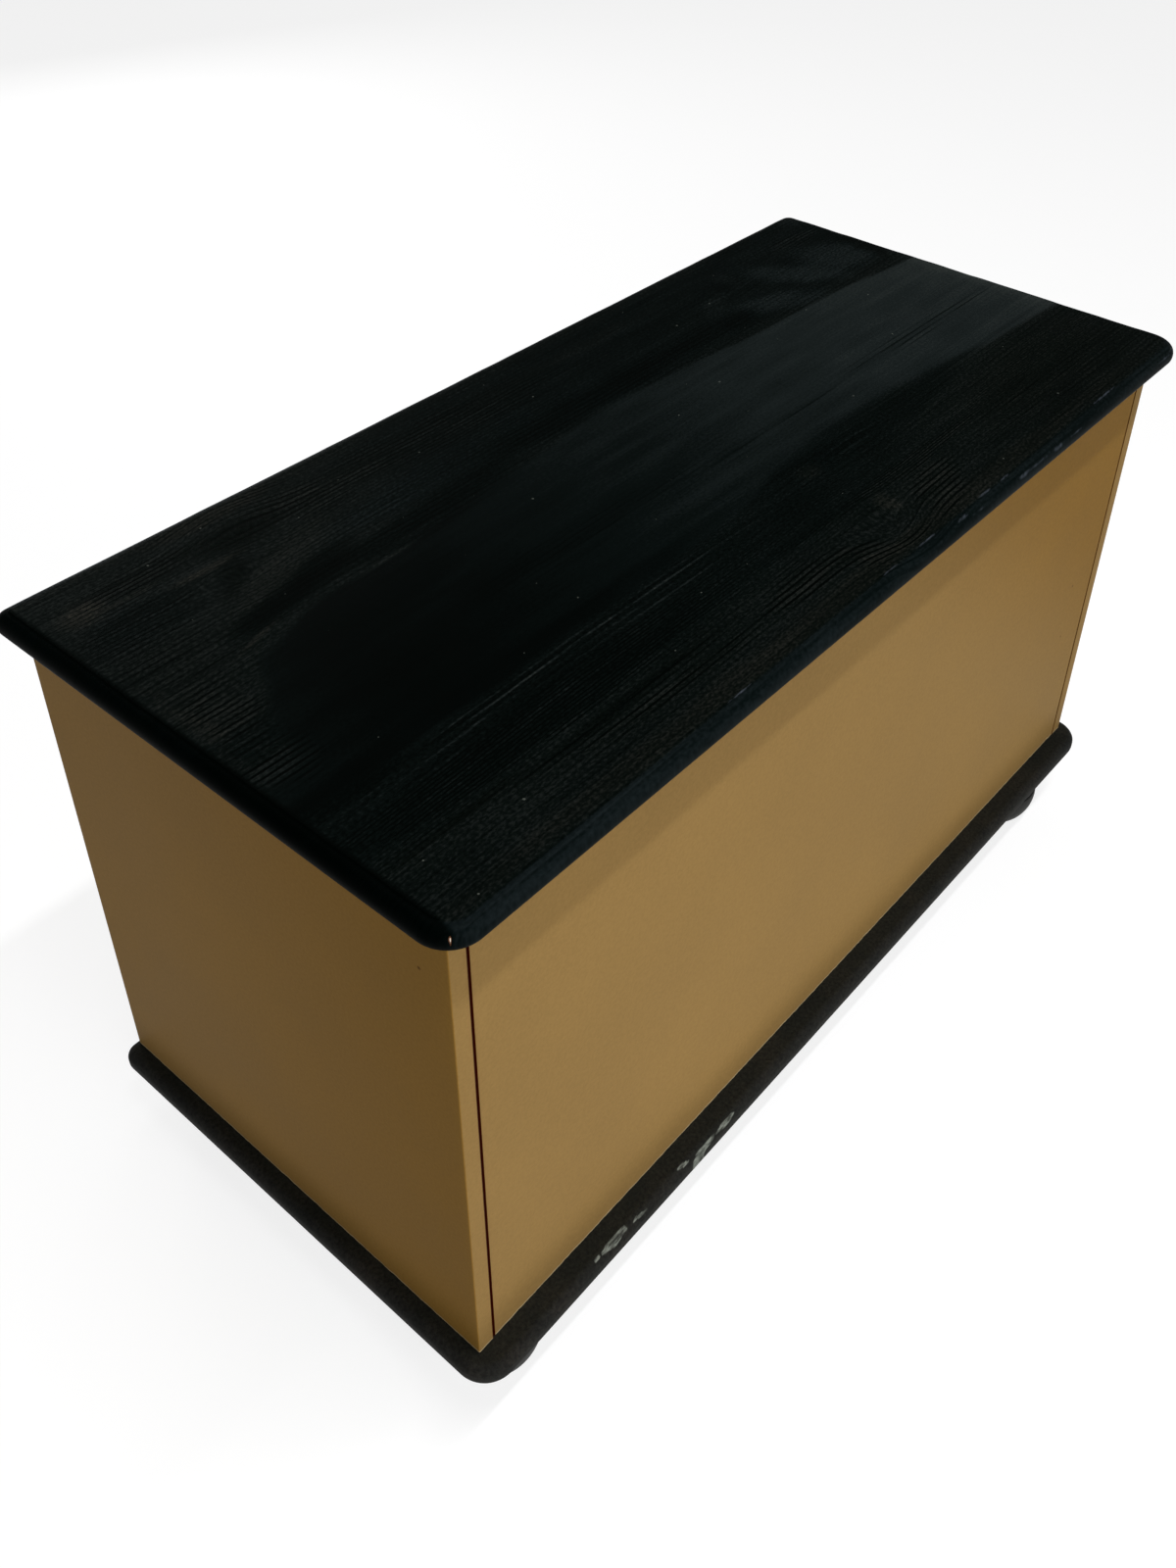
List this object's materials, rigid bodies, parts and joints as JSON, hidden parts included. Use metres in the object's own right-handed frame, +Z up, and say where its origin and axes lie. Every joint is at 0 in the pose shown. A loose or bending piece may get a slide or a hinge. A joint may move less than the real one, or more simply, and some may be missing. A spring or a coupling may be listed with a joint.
{
  "type": "storage chest",
  "caption": "Free-standing painted wooden storage chest with an overhanging hinged lid, a rounded base board and turned bun feet.",
  "frame": {"origin": "on the floor, under the middle of the whole chest", "axes": "+X along the length, to the right of someone facing the front; the front faces -Y; +Z up"},
  "size_m": [0.935, 0.4424, 0.561],
  "materials": {
    "lid_stain": "black stained pine, satin, with open grain",
    "box_paint": "mustard gold satin paint with a fine roller texture",
    "base_paint": "rough matt black-brown paint",
    "foot_paint": "matt black-brown paint on turned wood",
    "bare_pine": "planed pine, unfinished",
    "hinge_brass": "brass, lightly dulled",
    "screw_steel": "zinc-plated steel"
  },
  "bodies": {
    "chest": {"back_panel": "box_paint", "base_board_back": "base_paint", "base_board_front": "base_paint", "base_board_middle": "base_paint", "bottom_cleat_back": "bare_pine", "bottom_cleat_front": "bare_pine", "bottom_cleat_left": "bare_pine", "bottom_cleat_right": "bare_pine", "bottom_cleat_screws": "screw_steel", "corner_block_back_left": "bare_pine", "corner_block_back_right": "bare_pine", "corner_block_front_left": "bare_pine", "corner_block_front_right": "bare_pine", "corner_block_screws": "screw_steel", "foot_back_left": "foot_paint", "foot_back_right": "foot_paint", "foot_bolts": "screw_steel", "foot_front_left": "foot_paint", "foot_front_right": "foot_paint", "front_panel": "box_paint", "hinge_body_leaf_left": "hinge_brass", "hinge_body_leaf_right": "hinge_brass", "hinge_body_screws": "screw_steel", "hinge_pin_left": "screw_steel", "hinge_pin_right": "screw_steel", "side_panel_left": "box_paint", "side_panel_right": "box_paint"},
    "lid": {"hinge_lid_leaf_left": "hinge_brass", "hinge_lid_leaf_right": "hinge_brass", "hinge_lid_screws": "screw_steel", "lid_batten_left": "bare_pine", "lid_batten_right": "bare_pine", "lid_batten_screws": "screw_steel", "lid_board_back": "lid_stain", "lid_board_front": "lid_stain", "lid_board_middle": "lid_stain"}
  },
  "joints": [
    {"name": "lid_hinge", "type": "hinge", "parent": "chest", "child": "lid", "pos_m": [0, 0.21105, 0.542], "axis": [-1, 0, 0], "range_deg": [0, 100]}
  ]
}
